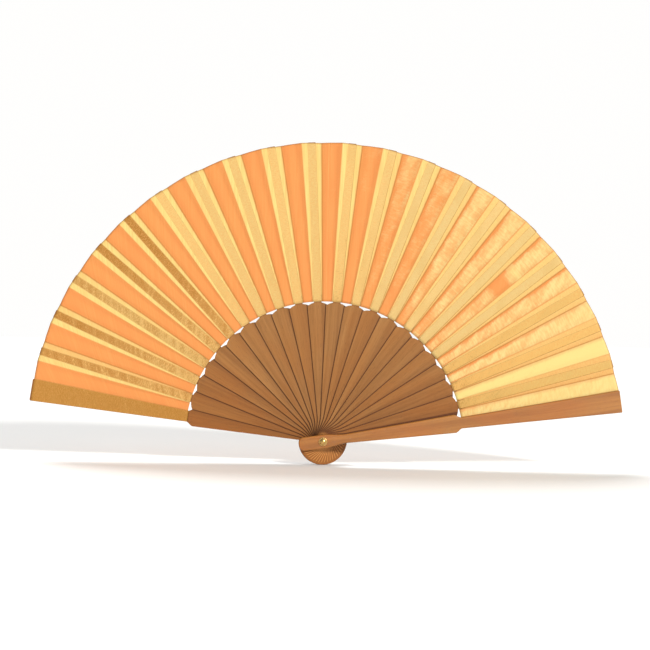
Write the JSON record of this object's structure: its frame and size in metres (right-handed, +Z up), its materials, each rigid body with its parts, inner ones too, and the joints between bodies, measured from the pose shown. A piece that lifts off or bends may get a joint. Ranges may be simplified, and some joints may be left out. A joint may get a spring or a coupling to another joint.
{
  "type": "folding fan",
  "caption": "Open folding fan: flat wooden ribs with scalloped shoulders between stout guards, turning on a brass rivet and carrying a pleated gold and orange silk leaf.",
  "frame": {"origin": "centre of the rivet, halfway through the stack of sticks, where the hand holds the fan", "axes": "+X to the right across the open fan, +Y to the back along the rivet, +Z up along the middle of the leaf"},
  "size_m": [0.3858, 0.025, 0.2096],
  "materials": {
    "guard_wood": "satin sandalwood, fine straight grain, edges rounded by hand",
    "rib_wood": "satin sandalwood, thin planed ribs, fine straight grain",
    "silk_gold": "gold-printed silk with a soft metallic sheen",
    "silk_orange": "plain orange silk, pleated, with a soft sheen",
    "brass": "polished, slightly worn"
  },
  "bodies": {
    "rivet": {"rivet_pin": "brass", "front_washer": "brass", "rear_washer": "brass", "leaf_folds_right": "silk_orange", "leaf_folds_left": "silk_orange"},
    "front_guard": {"front_guard": "guard_wood", "leaf_panel_00": "silk_gold"},
    "rib_01": {"rib_01": "rib_wood", "leaf_panel_01": "silk_gold"},
    "rib_02": {"rib_02": "rib_wood", "leaf_panel_02": "silk_gold"},
    "rib_03": {"rib_03": "rib_wood", "leaf_panel_03": "silk_gold"},
    "rib_04": {"rib_04": "rib_wood", "leaf_panel_04": "silk_gold"},
    "rib_05": {"rib_05": "rib_wood", "leaf_panel_05": "silk_gold"},
    "rib_06": {"rib_06": "rib_wood", "leaf_panel_06": "silk_gold"},
    "rib_07": {"rib_07": "rib_wood", "leaf_panel_07": "silk_gold"},
    "rib_08": {"rib_08": "rib_wood", "leaf_panel_08": "silk_gold"},
    "rib_09": {"rib_09": "rib_wood", "leaf_panel_09": "silk_gold"},
    "rib_10": {"rib_10": "rib_wood", "leaf_panel_10": "silk_gold"},
    "rib_11": {"rib_11": "rib_wood", "leaf_panel_11": "silk_gold"},
    "rib_12": {"rib_12": "rib_wood", "leaf_panel_12": "silk_gold"},
    "rib_13": {"rib_13": "rib_wood", "leaf_panel_13": "silk_gold"},
    "rib_14": {"rib_14": "rib_wood", "leaf_panel_14": "silk_gold"},
    "rib_15": {"rib_15": "rib_wood", "leaf_panel_15": "silk_gold"},
    "rib_16": {"rib_16": "rib_wood", "leaf_panel_16": "silk_gold"},
    "rib_17": {"rib_17": "rib_wood", "leaf_panel_17": "silk_gold"},
    "rib_18": {"rib_18": "rib_wood", "leaf_panel_18": "silk_gold"},
    "rib_19": {"rib_19": "rib_wood", "leaf_panel_19": "silk_gold"},
    "rib_20": {"rib_20": "rib_wood", "leaf_panel_20": "silk_gold"},
    "rear_guard": {"rear_guard": "guard_wood", "leaf_panel_21": "silk_gold"}
  },
  "joints": [
    {"name": "front_guard_fold", "type": "hinge", "parent": "rivet", "child": "front_guard", "pos_m": [0, 0, 0], "axis": [0, -1, 0], "range_deg": [0, 81.3], "deforming": ["leaf_folds_right", "leaf_folds_left"]},
    {"name": "rib_01_fold", "type": "hinge", "parent": "rivet", "child": "rib_01", "pos_m": [0, 0, 0], "axis": [0, -1, 0], "range_deg": [0, 73.94]},
    {"name": "rib_02_fold", "type": "hinge", "parent": "rivet", "child": "rib_02", "pos_m": [0, 0, 0], "axis": [0, -1, 0], "range_deg": [0, 66.52]},
    {"name": "rib_03_fold", "type": "hinge", "parent": "rivet", "child": "rib_03", "pos_m": [0, 0, 0], "axis": [0, -1, 0], "range_deg": [0, 59.02]},
    {"name": "rib_04_fold", "type": "hinge", "parent": "rivet", "child": "rib_04", "pos_m": [0, 0, 0], "axis": [0, -1, 0], "range_deg": [0, 51.44]},
    {"name": "rib_05_fold", "type": "hinge", "parent": "rivet", "child": "rib_05", "pos_m": [0, 0, 0], "axis": [0, -1, 0], "range_deg": [0, 43.78]},
    {"name": "rib_06_fold", "type": "hinge", "parent": "rivet", "child": "rib_06", "pos_m": [0, 0, 0], "axis": [0, -1, 0], "range_deg": [0, 36.05]},
    {"name": "rib_07_fold", "type": "hinge", "parent": "rivet", "child": "rib_07", "pos_m": [0, 0, 0], "axis": [0, -1, 0], "range_deg": [0, 28.26]},
    {"name": "rib_08_fold", "type": "hinge", "parent": "rivet", "child": "rib_08", "pos_m": [0, 0, 0], "axis": [0, -1, 0], "range_deg": [0, 20.43]},
    {"name": "rib_09_fold", "type": "hinge", "parent": "rivet", "child": "rib_09", "pos_m": [0, 0, 0], "axis": [0, -1, 0], "range_deg": [0, 12.58]},
    {"name": "rib_10_fold", "type": "hinge", "parent": "rivet", "child": "rib_10", "pos_m": [0, 0, 0], "axis": [0, -1, 0], "range_deg": [0, 4.71]},
    {"name": "rib_11_fold", "type": "hinge", "parent": "rivet", "child": "rib_11", "pos_m": [0, 0, 0], "axis": [0, -1, 0], "range_deg": [-3.19, 0]},
    {"name": "rib_12_fold", "type": "hinge", "parent": "rivet", "child": "rib_12", "pos_m": [0, 0, 0], "axis": [0, -1, 0], "range_deg": [-11.06, 0]},
    {"name": "rib_13_fold", "type": "hinge", "parent": "rivet", "child": "rib_13", "pos_m": [0, 0, 0], "axis": [0, -1, 0], "range_deg": [-18.93, 0]},
    {"name": "rib_14_fold", "type": "hinge", "parent": "rivet", "child": "rib_14", "pos_m": [0, 0, 0], "axis": [0, -1, 0], "range_deg": [-26.78, 0]},
    {"name": "rib_15_fold", "type": "hinge", "parent": "rivet", "child": "rib_15", "pos_m": [0, 0, 0], "axis": [0, -1, 0], "range_deg": [-34.61, 0]},
    {"name": "rib_16_fold", "type": "hinge", "parent": "rivet", "child": "rib_16", "pos_m": [0, 0, 0], "axis": [0, -1, 0], "range_deg": [-42.44, 0]},
    {"name": "rib_17_fold", "type": "hinge", "parent": "rivet", "child": "rib_17", "pos_m": [0, 0, 0], "axis": [0, -1, 0], "range_deg": [-50.24, 0]},
    {"name": "rib_18_fold", "type": "hinge", "parent": "rivet", "child": "rib_18", "pos_m": [0, 0, 0], "axis": [0, -1, 0], "range_deg": [-58.03, 0]},
    {"name": "rib_19_fold", "type": "hinge", "parent": "rivet", "child": "rib_19", "pos_m": [0, 0, 0], "axis": [0, -1, 0], "range_deg": [-65.8, 0]},
    {"name": "rib_20_fold", "type": "hinge", "parent": "rivet", "child": "rib_20", "pos_m": [0, 0, 0], "axis": [0, -1, 0], "range_deg": [-73.56, 0]},
    {"name": "rear_guard_fold", "type": "hinge", "parent": "rivet", "child": "rear_guard", "pos_m": [0, 0, 0], "axis": [0, -1, 0], "range_deg": [-81.31, 0]}
  ],
  "couplings": [
    {"joint": "rib_01_fold", "follows": "front_guard_fold", "ratio": 0.9094},
    {"joint": "rib_02_fold", "follows": "front_guard_fold", "ratio": 0.81811},
    {"joint": "rib_03_fold", "follows": "front_guard_fold", "ratio": 0.72588},
    {"joint": "rib_04_fold", "follows": "front_guard_fold", "ratio": 0.63263},
    {"joint": "rib_05_fold", "follows": "front_guard_fold", "ratio": 0.53839},
    {"joint": "rib_06_fold", "follows": "front_guard_fold", "ratio": 0.44329},
    {"joint": "rib_07_fold", "follows": "front_guard_fold", "ratio": 0.34751},
    {"joint": "rib_08_fold", "follows": "front_guard_fold", "ratio": 0.25121},
    {"joint": "rib_09_fold", "follows": "front_guard_fold", "ratio": 0.15457},
    {"joint": "rib_10_fold", "follows": "front_guard_fold", "ratio": 0.05776},
    {"joint": "rib_11_fold", "follows": "front_guard_fold", "ratio": -0.039113},
    {"joint": "rib_12_fold", "follows": "front_guard_fold", "ratio": -0.13595},
    {"joint": "rib_13_fold", "follows": "front_guard_fold", "ratio": -0.23268},
    {"joint": "rib_14_fold", "follows": "front_guard_fold", "ratio": -0.32925},
    {"joint": "rib_15_fold", "follows": "front_guard_fold", "ratio": -0.42564},
    {"joint": "rib_16_fold", "follows": "front_guard_fold", "ratio": -0.52184},
    {"joint": "rib_17_fold", "follows": "front_guard_fold", "ratio": -0.61784},
    {"joint": "rib_18_fold", "follows": "front_guard_fold", "ratio": -0.71364},
    {"joint": "rib_19_fold", "follows": "front_guard_fold", "ratio": -0.80926},
    {"joint": "rib_20_fold", "follows": "front_guard_fold", "ratio": -0.9047},
    {"joint": "rear_guard_fold", "follows": "front_guard_fold", "ratio": -1}
  ]
}
